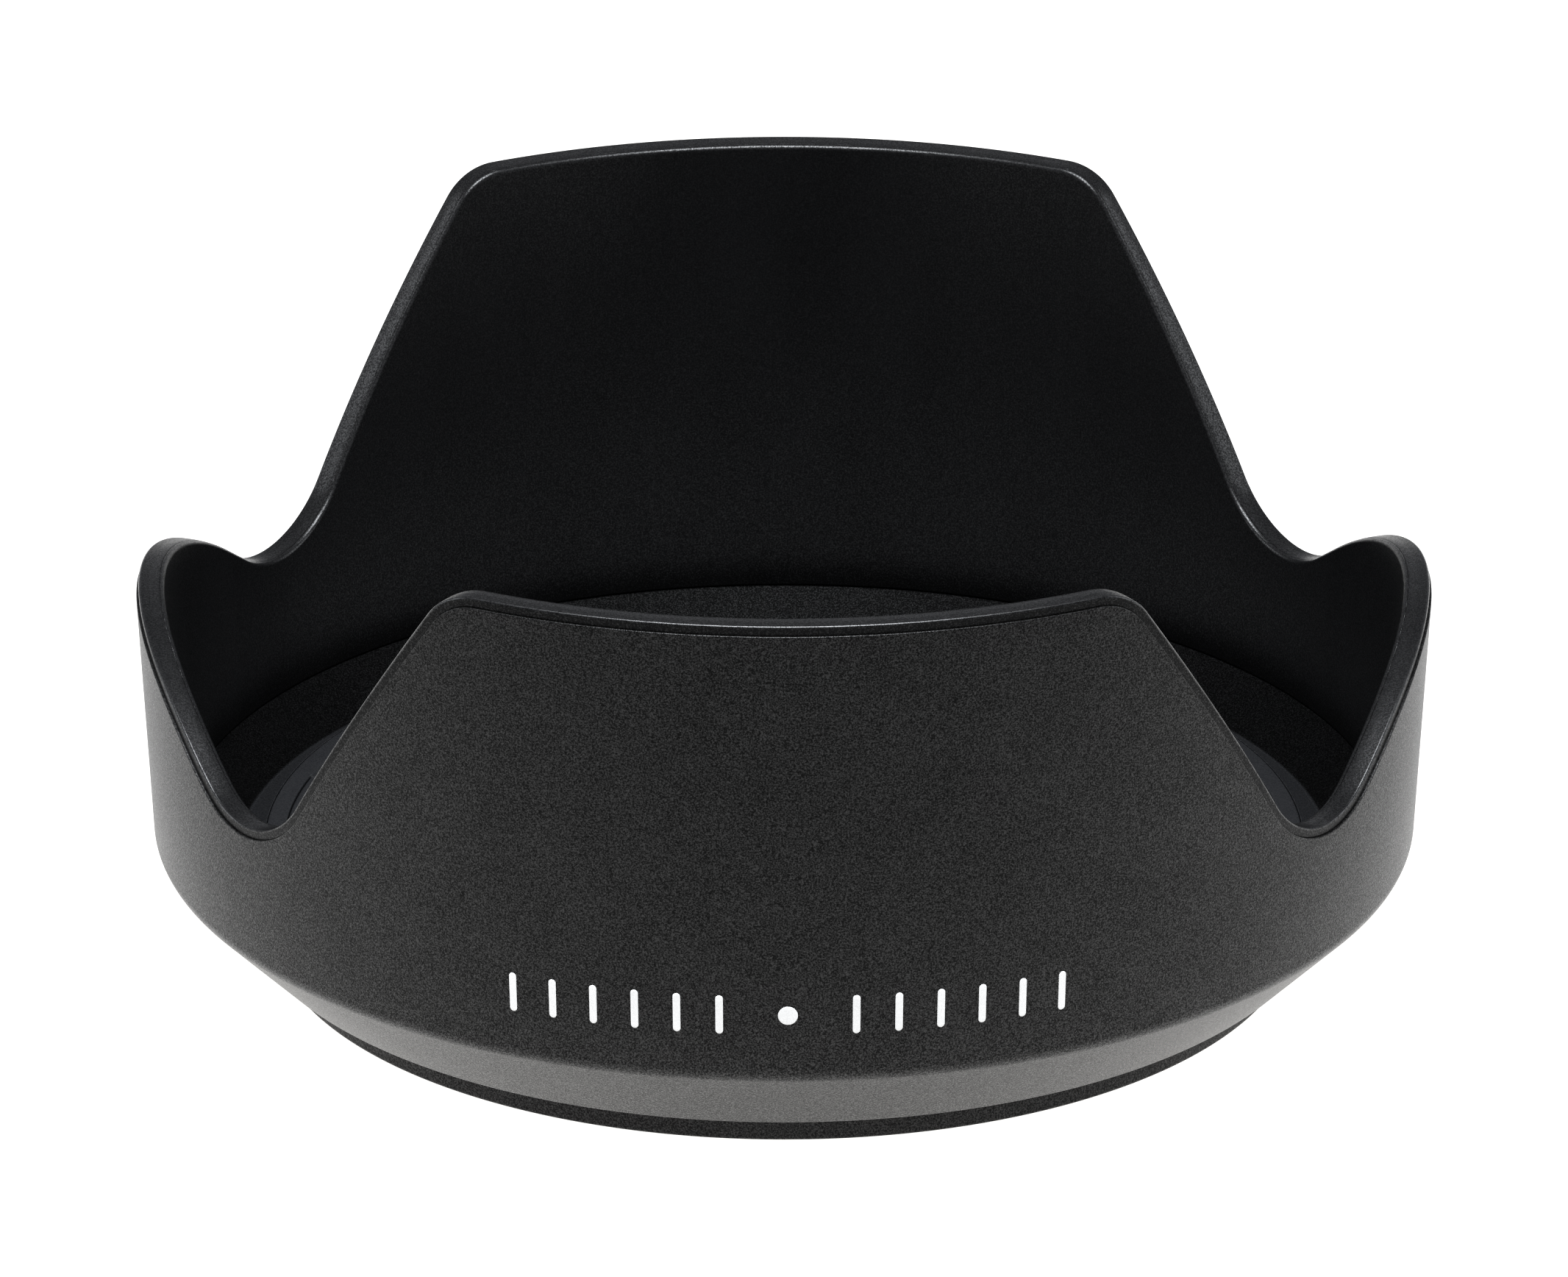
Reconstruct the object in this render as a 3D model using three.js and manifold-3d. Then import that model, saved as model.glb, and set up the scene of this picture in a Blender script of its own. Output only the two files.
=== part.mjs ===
// Petal lens hood for a small lens.
//
// Frame: millimetres, +Z along the optical axis towards the subject, origin at the centre of the
// mounting end. The two long petals lie on -Y and +Y, the two short ones on -X and +X.
//
// The hood comes apart along the axis. The bayonet ring drops into the outer shell and hangs on the
// shell's floor by its flange, the baffle ring lies on that flange, and the inner liner slides in
// last: its foot holds the baffle down and its rim laps over the shell's upper edge. Four lugs sit
// in sockets at the top of the bayonet ring, one under the middle of each petal.

import * as THREE from 'three';
import { mergeVertices } from 'three/addons/utils/BufferGeometryUtils.js';
import Module from 'manifold-3d';

const wasm = await Module();
wasm.setup();

// Driving dimensions: millimetres, and degrees where the name says so.

const bondGap = 0.05; // adhesive gap between faces that are bonded or seated
const hoodHeight = 33.6; // mounting face to the rim of the long petals

// Mounting end.
const boreRadius = 27.6;
const neckWall = 1.2;
const neckHeight = 1.8;
const edgeBreak = 0.15; // small chamfer on the neck's lower edges
const hubStep = 0.3; // hub above the flange, beyond the neck
const boreChamfer = 0.4;
const ringFlange = 0.9; // flange thickness
const flangeClearance = 0.25; // flange edge to the shell

// Barrel.
const footOverhang = 1.6; // foot of the chamfer beyond the neck
const barrelOverhang = 6.14; // barrel beyond the neck, carried down to the mounting face
const barrelFlare = 0.055; // radius gained per millimetre of height
const chamferRise = 4.85;
const chamferFillet = 1.2; // softened corner between chamfer and barrel
const wallThickness = 1.6;
const skinThickness = 0.75; // the outer shell's share of the wall
const shellFloor = 0.9;

// Rim.
const lipHeight = 0.55; // smooth lip above the textured shell
const lipStep = 0.15; // lip set in from the shell's outside
const rimOuterRadius = 0.2;
const rimInnerRadius = 0.2;

// Petals, on the barrel unrolled flat.
const longPetalHalfDegrees = 30; // where the flank would meet the rim
const longFlankDegrees = 54.3; // steepness of the flank
const longCornerRadius = 3.7;
const notchHeight = 14.8; // lowest point of the four notches
const notchRadius = 6.7;
const shortPetalHeight = 21.43;
const shortCrownRadius = 29;

// Baffle.
const baffleThickness = 0.8;
const baffleRise = 1.2; // inner lip above the lowest point of the floor
const baffleLipRun = 1.65; // from the hub to that lowest point

// Bayonet lugs.
const lugCount = 4;
const firstLugDegrees = 0; // from +X towards +Y
const lugDegrees = 34;
const lugReach = 1.0; // into the bore
const lugHeight = 1.65;
const lugTopDrop = 0.05; // lug top below the hub's top
const socketGap = 0.15;
const lugBevel = 0.15;

// Fineness of the facets: steps in each stretch of one petal quadrant.

const steps = { rim: 6, corner: 4, longFlank: 6, notch: 8, shortFlank: 2, crown: 8 };
const degreesPerFacet = 3;

// Sizes that follow from the driving dimensions.

const radians = THREE.MathUtils.degToRad;
const neckRadius = boreRadius + neckWall;
const footRadius = neckRadius + footOverhang;
const barrelRadius = neckRadius + barrelOverhang;
const hubRadius = neckRadius + hubStep;

const chamferTop = neckHeight + chamferRise;
const shellFloorTop = neckHeight + shellFloor;
const flangeBottom = shellFloorTop + bondGap;
const flangeTop = flangeBottom + ringFlange;
const baffleBottom = flangeTop + bondGap;
const baffleLow = baffleBottom + baffleThickness;
const hubTop = baffleLow + baffleRise;
const linerFoot = chamferTop + bondGap;

const outerRadius = (height) => barrelRadius + barrelFlare * height;
const chamferSlope = (outerRadius(chamferTop) - footRadius) / chamferRise;
const skinAcrossChamfer = skinThickness * Math.hypot(1, chamferSlope);

// Inside of the shell's cone, and the height where it meets the inside of the shell's wall.
const coneInside = (height) => footRadius + (height - neckHeight) * chamferSlope - skinAcrossChamfer;
const coneTop = (barrelRadius - skinThickness - coneInside(0)) / (chamferSlope - barrelFlare);

// Petal outline. On the unrolled barrel, x is the distance round from the middle of a long petal and
// y is the height. The edge runs along the rim, over a rounded corner, down a straight flank, round
// the notch, up a short flank and over the short petal's crown.

const outlineRadius = outerRadius(shortPetalHeight);
const flankAngle = radians(longFlankDegrees);
const rimCorner = outlineRadius * radians(longPetalHalfDegrees);
const corner = new THREE.Vector2(
	rimCorner - longCornerRadius * Math.tan(flankAngle / 2),
	hoodHeight - longCornerRadius,
);
const notchCentreHeight = notchHeight + notchRadius;
const notch = new THREE.Vector2(
	rimCorner + (hoodHeight - notchCentreHeight) / Math.tan(flankAngle) + notchRadius / Math.sin(flankAngle),
	notchCentreHeight,
);

// The crown is the largest arc, up to its own radius, that the notch leaves room for.
const crownX = outlineRadius * Math.PI / 2;
const crownRoom = crownX - notch.x;
const crownAboveNotch = shortPetalHeight - notchCentreHeight;
const widestCrown = (crownRoom ** 2 + crownAboveNotch ** 2 - notchRadius ** 2)
	/ (2 * (crownAboveNotch + notchRadius));
const crownRadius = Math.min(shortCrownRadius, widestCrown);
const crown = new THREE.Vector2(crownX, shortPetalHeight - crownRadius);

// Slope of the straight line that touches both the notch's arc and the crown's.
const centreLine = crown.clone().sub(notch);
const shortFlankAngle = Math.atan2(centreLine.y, centreLine.x)
	+ Math.asin(Math.min(1, (crownRadius + notchRadius) / centreLine.length()));

function arcPoints(centre, radius, from, to, count) {
	// Points on an arc, by the slope of its tangent: a positive radius bulges up, a negative one down.
	return Array.from({ length: count }, (_, i) => {
		const slope = THREE.MathUtils.lerp(from, to, i / count);
		return new THREE.Vector2(centre.x - radius * Math.sin(slope), centre.y + radius * Math.cos(slope));
	});
}

function linePoints(from, to, count) {
	return Array.from({ length: count }, (_, i) => from.clone().lerp(to, i / count));
}

function quadrantEdge(inset) {
	// The petal edge from a long petal's middle to a short petal's, moved into the material by inset.
	const rim = new THREE.Vector2(0, hoodHeight - inset);
	const convex = (centre, radius, from, to, count) => arcPoints(centre, radius - inset, from, to, count);
	const cornerArc = convex(corner, longCornerRadius, 0, -flankAngle, steps.corner);
	const cornerEnd = convex(corner, longCornerRadius, -flankAngle, -flankAngle, 1)[0];
	const notchSize = -(notchRadius + inset);
	const notchArc = arcPoints(notch, notchSize, -flankAngle, shortFlankAngle, steps.notch);
	const notchEnd = arcPoints(notch, notchSize, shortFlankAngle, shortFlankAngle, 1)[0];
	const crownArc = convex(crown, crownRadius, shortFlankAngle, 0, steps.crown);
	const crownEnd = new THREE.Vector2(crown.x, shortPetalHeight - inset);
	return [
		...linePoints(rim, cornerArc[0], steps.rim),
		...cornerArc,
		...linePoints(cornerEnd, notchArc[0], steps.longFlank),
		...notchArc,
		...linePoints(notchEnd, crownArc[0], steps.shortFlank),
		...crownArc,
		crownEnd,
	];
}

function petalEdge(inset) {
	// The edge all the way round, as angle from -Y towards +X and height: each quadrant is the mirror
	// image of the last.
	const quadrant = quadrantEdge(inset).map((p) => ({ angle: p.x / outlineRadius, height: p.y }));
	const half = [
		...quadrant.slice(0, -1),
		...quadrant.slice(1).reverse().map((p) => ({ angle: Math.PI - p.angle, height: p.height })),
	];
	return [...half, ...half.map((p) => ({ angle: Math.PI + p.angle, height: p.height }))];
}

const edge = petalEdge(0);

// Points of a ring's cross-section: fixed, or carried up and down by the petal edge.

const at = (radius, height) => ({ angles: edge, place: () => ({ radius, height }) });
const inWall = (height, depth) => at(outerRadius(height) - depth, height);

function onEdge(inset, depth) {
	const line = petalEdge(inset);
	const place = (i) => ({ radius: outerRadius(line[i].height) - depth, height: line[i].height });
	return { angles: line, place };
}

function filletPoints(before, tip, after, radius, count) {
	// An arc of the given radius in place of the corner at tip.
	const back = before.clone().sub(tip).normalize();
	const ahead = after.clone().sub(tip).normalize();
	const half = Math.acos(back.dot(ahead)) / 2;
	const centre = back.clone().add(ahead).normalize().multiplyScalar(radius / Math.sin(half)).add(tip);
	const first = back.multiplyScalar(radius / Math.tan(half)).add(tip).sub(centre);
	const turn = (Math.PI - 2 * half) * Math.sign(first.clone().cross(ahead));
	return Array.from({ length: count + 1 }, (_, i) => {
		const point = first.clone().rotateAround(new THREE.Vector2(), turn * i / count).add(centre);
		return at(point.x, point.y);
	});
}

function ringGeometry(section) {
	// A ring whose closed cross-section, given anticlockwise, follows the stations of the petal edge.
	const closed = [...section, section[0]];
	const profile = closed.map((point) => {
		const { radius, height } = point.place(0);
		return new THREE.Vector2(radius, height);
	});
	const geometry = new THREE.LatheGeometry(profile, edge.length);
	const position = geometry.attributes.position;
	for (let vertex = 0; vertex < position.count; vertex++) {
		const point = closed[vertex % closed.length];
		const station = Math.floor(vertex / closed.length) % edge.length;
		const { radius, height } = point.place(station);
		const { angle } = point.angles[station];
		position.setXYZ(vertex, radius * Math.sin(angle), -radius * Math.cos(angle), height);
	}
	return welded(geometry);
}

// Solids.

function welded(geometry) {
	geometry.deleteAttribute('normal');
	geometry.deleteAttribute('uv');
	return mergeVertices(geometry, 1e-5);
}

function toSolid(geometry) {
	return new wasm.Manifold(new wasm.Mesh({
		numProp: 3,
		vertProperties: new Float32Array(geometry.attributes.position.array),
		triVerts: new Uint32Array(geometry.index.array),
	}));
}

function toGeometry(solid) {
	const { vertProperties, triVerts } = solid.getMesh();
	const geometry = new THREE.BufferGeometry();
	geometry.setAttribute('position', new THREE.BufferAttribute(vertProperties, 3));
	geometry.setIndex(new THREE.BufferAttribute(triVerts, 1));
	return geometry;
}

function sectorGeometry(inner, outer, halfAngle, bottom, top, bevel) {
	// A block between two radii, centred on +X. The bevel is taken off its size, not added to it.
	const facets = Math.ceil(2 * halfAngle / radians(degreesPerFacet));
	const arc = (radius) => Array.from({ length: facets + 1 }, (_, i) => {
		const turn = (2 * i / facets - 1) * (halfAngle - bevel / radius);
		return new THREE.Vector2(radius * Math.cos(turn), radius * Math.sin(turn));
	});
	const shape = new THREE.Shape([...arc(outer - bevel), ...arc(inner + bevel).reverse()]);
	const geometry = new THREE.ExtrudeGeometry(shape, {
		depth: top - bottom - 2 * bevel,
		bevelEnabled: bevel > 0,
		bevelSize: bevel,
		bevelThickness: bevel,
		bevelSegments: 1,
	});
	geometry.translate(0, 0, bottom + bevel);
	return welded(geometry);
}

// Finishes.

const finish = (color, roughness) => ({ color, roughness, metalness: 0 });
const texturedBlack = finish(0x2a2a29, 0.62);
const satinBlack = finish(0x1c1d1f, 0.5);
const matteBlack = finish(0x121212, 0.85);
const mouldedBlack = finish(0x242321, 0.55);

const hood = new THREE.Group();

function addMesh(name, geometry, colours, turn = 0) {
	const mesh = new THREE.Mesh(geometry, new THREE.MeshStandardMaterial(colours));
	mesh.name = name;
	mesh.rotation.z = turn;
	hood.add(mesh);
}

// Outer shell: chamfered foot, textured barrel and petals.

function outerShell() {
	const foot = new THREE.Vector2(footRadius, neckHeight);
	const shoulder = new THREE.Vector2(outerRadius(chamferTop), chamferTop);
	const wall = new THREE.Vector2(outerRadius(notchHeight), notchHeight);
	return ringGeometry([
		at(neckRadius + bondGap, neckHeight),
		at(footRadius, neckHeight),
		...filletPoints(foot, shoulder, wall, chamferFillet, 3),
		onEdge(lipHeight, 0),
		onEdge(lipHeight, skinThickness),
		at(coneInside(coneTop), coneTop),
		at(coneInside(shellFloorTop), shellFloorTop),
		at(neckRadius + bondGap, shellFloorTop),
	]);
}

// Inner liner: smooth inner wall, with the rounded rim that laps over the shell's edge.

function innerLiner() {
	const behindSkin = skinThickness + bondGap;
	const rimArc = [0, 1, 2, 3].map((i) => {
		const turn = Math.PI / 2 * i / 3;
		const inset = rimOuterRadius * (1 - Math.sin(turn));
		return onEdge(inset, lipStep + rimOuterRadius * (1 - Math.cos(turn)));
	});
	return ringGeometry([
		inWall(linerFoot, wallThickness),
		at(coneInside(linerFoot) - bondGap, linerFoot),
		inWall(coneTop + bondGap, behindSkin),
		onEdge(lipHeight - bondGap, behindSkin),
		onEdge(lipHeight - bondGap, lipStep),
		...rimArc,
		onEdge(0, wallThickness - rimInnerRadius),
		onEdge(rimInnerRadius, wallThickness),
	]);
}

// Baffle ring: the sloped floor between the liner and the bayonet ring, with a raised inner lip.

function baffleRing() {
	const inside = hubRadius + bondGap;
	return ringGeometry([
		at(inside, baffleBottom),
		at(coneInside(baffleBottom) - bondGap, baffleBottom),
		at(coneInside(chamferTop) - bondGap, chamferTop),
		inWall(chamferTop, wallThickness),
		at(inside + baffleLipRun, baffleLow),
		at(inside, hubTop),
	]);
}

// Bayonet ring: neck, flange and hub, with a socket in the hub's top for each lug.

const lugTop = hubTop - lugTopDrop;
const lugBottom = lugTop - lugHeight;
const lugOuter = boreRadius + boreChamfer;
const lugInner = boreRadius - lugReach;
const lugHalf = radians(lugDegrees) / 2;
const lugTurns = Array.from({ length: lugCount }, (_, i) => radians(firstLugDegrees) + 2 * Math.PI * i / lugCount);

function bayonetRing() {
	const ring = ringGeometry([
		at(boreRadius, edgeBreak),
		at(boreRadius + edgeBreak, 0),
		at(neckRadius - edgeBreak, 0),
		at(neckRadius, edgeBreak),
		at(neckRadius, flangeBottom),
		at(coneInside(flangeBottom) - flangeClearance, flangeBottom),
		at(coneInside(flangeBottom) - flangeClearance, flangeTop),
		at(hubRadius, flangeTop),
		at(hubRadius, hubTop),
		at(boreRadius + boreChamfer, hubTop),
		at(boreRadius, hubTop - boreChamfer),
	]);
	let solid = toSolid(ring);
	for (const turn of lugTurns) {
		const socket = sectorGeometry(
			lugInner,
			lugOuter + socketGap,
			lugHalf + socketGap / lugOuter,
			lugBottom - socketGap,
			hubTop + lugHeight,
			0,
		);
		solid = solid.subtract(toSolid(socket.rotateZ(turn)));
	}
	return toGeometry(solid);
}

addMesh('outer_shell', outerShell(), texturedBlack);
addMesh('inner_liner', innerLiner(), satinBlack);
addMesh('baffle_ring', baffleRing(), matteBlack);
addMesh('bayonet_ring', bayonetRing(), mouldedBlack);
lugTurns.forEach((turn, i) => {
	const lug = sectorGeometry(lugInner, lugOuter, lugHalf, lugBottom, lugTop, lugBevel);
	addMesh(`bayonet_lug_${i + 1}`, lug, mouldedBlack, turn);
});

export default hood;
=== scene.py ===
"""Visible surfaces of a petal lens hood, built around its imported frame, with a plain studio round it.

Metres throughout. +Z runs along the optical axis, the long petals lie on -Y and +Y.
"""

from math import cos, pi, radians, sin

import bmesh
import bpy
import numpy as np
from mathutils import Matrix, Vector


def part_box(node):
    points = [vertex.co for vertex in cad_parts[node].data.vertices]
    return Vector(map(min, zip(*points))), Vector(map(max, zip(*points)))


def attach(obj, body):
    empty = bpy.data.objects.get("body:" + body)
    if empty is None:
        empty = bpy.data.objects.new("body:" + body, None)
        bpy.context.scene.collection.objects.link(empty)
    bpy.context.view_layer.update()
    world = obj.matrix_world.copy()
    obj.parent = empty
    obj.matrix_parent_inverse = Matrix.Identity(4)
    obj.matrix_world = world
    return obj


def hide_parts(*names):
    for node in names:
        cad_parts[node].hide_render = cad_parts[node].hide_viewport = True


bl_info = {
    "name": "Petal lens hood",
    "version": (1, 0, 0),
    "blender": (4, 5, 0),
    "location": "3D View > Sidebar > Hood",
    "description": "Builds the visible surfaces of a petal lens hood and the studio it stands in",
    "category": "Add Mesh",
}

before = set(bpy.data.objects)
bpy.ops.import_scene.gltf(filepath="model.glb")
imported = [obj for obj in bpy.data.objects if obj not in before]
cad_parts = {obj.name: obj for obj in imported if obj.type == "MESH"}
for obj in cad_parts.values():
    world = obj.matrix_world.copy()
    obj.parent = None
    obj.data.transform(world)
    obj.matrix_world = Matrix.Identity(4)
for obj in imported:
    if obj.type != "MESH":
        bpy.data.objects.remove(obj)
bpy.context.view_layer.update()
SHELL_LOW, SHELL_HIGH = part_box("outer_shell")
LINER_LOW, LINER_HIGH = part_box("inner_liner")
BAFFLE_LOW, BAFFLE_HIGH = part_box("baffle_ring")
RING_LOW, RING_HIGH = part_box("bayonet_ring")
LUG_LOW, LUG_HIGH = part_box("bayonet_lug_1")
LUG_NAMES = [f"bayonet_lug_{number}" for number in (1, 2, 3, 4)]
MM = 0.001


# Settings that a user would change.


def length(label, description, default):
    """A distance setting, in metres."""
    return bpy.props.FloatProperty(
        name=label, description=description, default=default, unit="LENGTH", precision=5
    )


def angle(label, description, degrees):
    """An angle setting, shown in degrees and kept in radians."""
    return bpy.props.FloatProperty(
        name=label, description=description, default=radians(degrees), subtype="ANGLE"
    )


def factor(label, description, default, highest=1.0):
    """A plain number setting."""
    return bpy.props.FloatProperty(
        name=label, description=description, default=default, min=0.0, max=highest
    )


def colour(label, description, default):
    """A linear colour setting."""
    return bpy.props.FloatVectorProperty(
        name=label, description=description, default=default, subtype="COLOR", size=3, min=0.0, max=1.0
    )


class HoodSizes(bpy.types.PropertyGroup):
    """Sizes of the hood's pieces."""

    hood_height: length("Hood height", "Mounting face to the long petals' rim", LINER_HIGH.z)
    flare: factor("Barrel flare", "Radius gained per metre of height", 0.055)
    barrel_radius: length("Barrel radius", "Outer wall carried down to the mounting face", 34.94 * MM)
    wall: length("Wall", "Thickness of the whole wall", 1.6 * MM)
    skin: length("Skin", "The outer shell's share of the wall", 0.75 * MM)
    bond: length("Bond gap", "Gap between seated pieces", 0.05 * MM)
    seam: length("Lip seam", "Gap between the lip and the shell's upper edge", 0.008 * MM)

    lip_height: length("Lip height", "Smooth lip above the shell", LINER_HIGH.z - SHELL_HIGH.z)
    lip_step: length("Lip step", "Lip set in from the shell's outside", 0.15 * MM)
    rim_outer_round: length("Outer rim rounding", "Rounding of the rim's outer edge", 0.17 * MM)
    rim_inner_round: length("Inner rim rounding", "Rounding of the rim's inner edge", 0.22 * MM)
    crown_depth: length("Rim crown", "Outer wall to where the rim starts to fall inwards", 1.0 * MM)
    crown_drop: length("Rim fall", "How far the rim has fallen at its inner edge", 0.08 * MM)
    # Height of the painted shade on the wall's foot.
    shaded_foot: length("Shaded foot", "Height of the wall's darker foot", 2.4 * MM)
    edge_round: length("Edge rounding", "Softening of the moulded edges", 0.07 * MM)

    long_petal_half: angle("Long petal half angle", "Where the flank would meet the rim", 30.0)
    long_flank: angle("Long flank", "Steepness of the long petal's flank", 54.3)
    long_corner: length("Long petal corner", "Radius of the long petal's corner", 3.7 * MM)
    notch_height: length("Notch height", "Lowest point of the notches", 14.8 * MM)
    notch_radius: length("Notch radius", "Radius of the notches", 6.7 * MM)
    short_height: length("Short petal height", "Top of the short petals", 21.43 * MM)
    short_crown: length("Short petal crown", "Radius of the short petal's crown", 29.0 * MM)

    foot_radius: length("Foot radius", "Lower end of the chamfer", 30.4 * MM)
    foot_height: length("Foot height", "Underside of the shell", SHELL_LOW.z)
    shoulder_height: length("Shoulder height", "Upper end of the chamfer", BAFFLE_HIGH.z)
    shoulder_round: length("Shoulder rounding", "Run of the softened shoulder", 0.43 * MM)
    floor_thickness: length("Shell floor", "Thickness of the shell's floor", 0.9 * MM)

    bore_radius: length("Bore radius", "Inside of the bayonet ring", 27.6 * MM)
    neck_radius: length("Neck radius", "Outside of the bayonet ring", 28.8 * MM)
    hub_radius: length("Hub radius", "Outside of the ring above its flange", 29.1 * MM)
    hub_top: length("Hub top", "Top of the bayonet ring", RING_HIGH.z)
    flange_thickness: length("Flange", "Thickness of the ring's flange", 0.9 * MM)
    bore_chamfer: length("Bore chamfer", "Chamfer at the top of the bore", 0.4 * MM)
    baffle_thickness: length("Baffle", "Thickness of the baffle at its lowest point", 0.8 * MM)
    baffle_lip: length("Baffle lip", "Hub to the lowest point of the baffle", 1.65 * MM)

    lug_half: angle("Lug half angle", "Half of the angle that a lug spans", 17.0)
    lug_reach: length("Lug reach", "How far a lug stands into the bore", 1.0 * MM)
    lug_round: length("Lug rounding", "Softening of a lug's edges", 0.15 * MM)
    socket_gap: length("Socket gap", "Clearance round a lug", 0.04 * MM)

    mark_height: length("Mark height", "Height of an index bar", 2.3 * MM)
    mark_width: length("Mark width", "Width of an index bar", 0.42 * MM)
    mark_pitch: length("Mark pitch", "Spacing of the index bars", 2.35 * MM)
    mark_level: length("Mark level", "Height of the marks above the mounting face", 10.5 * MM)
    mark_proud: length("Mark thickness", "Thickness of the printed ink", 0.02 * MM)


class HoodFinishes(bpy.types.PropertyGroup):
    """Colours and surface texture of the hood's pieces."""

    skin_colour: colour("Skin", "Spark-textured outer shell", (0.0032, 0.0031, 0.0030))
    liner_colour: colour("Liner", "Satin liner and rim", (0.0028, 0.0028, 0.0030))
    lip_colour: colour("Baffle lip", "Satin inner lip of the baffle", (0.0100, 0.0104, 0.0116))
    baffle_colour: colour("Baffle", "Matte anti-glare baffle", (0.0004, 0.0004, 0.0004))
    ring_colour: colour("Bayonet", "Moulded bayonet ring and lugs", (0.0034, 0.0033, 0.0033))
    ink_colour: colour("Ink", "Printed index marks", (0.90, 0.90, 0.89))
    skin_grain: length("Skin grain", "Size of the spark texture's pits", 0.09 * MM)
    skin_relief: length("Skin relief", "Depth of the spark texture", 0.022 * MM)
    satin_grain: length("Satin grain", "Size of the liner's fine texture", 0.06 * MM)
    satin_relief: length("Satin relief", "Depth of the liner's fine texture", 0.003 * MM)


class HoodStudio(bpy.types.PropertyGroup):
    """Camera and light."""

    aim_height: length("Aim height", "Height of the point that the camera looks at", 17.50 * MM)
    camera_distance: length("Camera distance", "Camera to that point", 0.7708)
    camera_elevation: angle("Camera elevation", "Camera above the horizontal", 22.85)
    camera_turn: angle("Camera turn", "Camera round the axis, from -Y towards +X", -0.34)
    focal_length: factor("Focal length", "In millimetres, on a 36 mm sensor", 316.9, 1000.0)
    floor_colour: colour("Floor", "Plain pale floor", (0.20, 0.20, 0.20))
    floor_glow: factor("Floor glow", "Light of the lit table", 1.44, 10.0)
    seen_share: factor("Seen share", "Share of the table's light that the camera sees", 0.8)
    field_share: factor("Field share", "Share of the table's light further out from the hood", 0.68)
    front_share: factor("Front share", "Share of the table's light in front of the lit field", 0.26)
    # Inside this radius the floor's glow is left out, as painted shade under the bore.
    glow_inner: length("Glow inner radius", "Where the lit field begins, under the neck", 28.0 * MM)
    glow_outer: length("Glow outer radius", "Where the strongest light has faded", 51.0 * MM)
    glow_fade: length("Glow fade", "Distance over which the strongest light fades", 14.0 * MM)
    field_front: length("Field front", "Where the lit field starts to fade towards the front", 34.0 * MM)
    field_end: length("Field end", "Where it has faded", 85.0 * MM)
    sky_strength: factor("Surround", "Brightness of the studio's walls", 0.30, 10.0)
    top_power: factor("Top light", "Power of the overhead soft light, in watts", 8.0, 1000.0)
    side_power: factor("Side lights", "Power of each side light, in watts", 1.9, 1000.0)


# Cross-sections and surfaces. A row is one line of the surface that runs right round the hood, as an
# array of points (x, depth, height): x is the distance round the unrolled barrel, from the middle of
# the front long petal towards +X, and depth is how far inside the outer wall the point lies.


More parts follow.
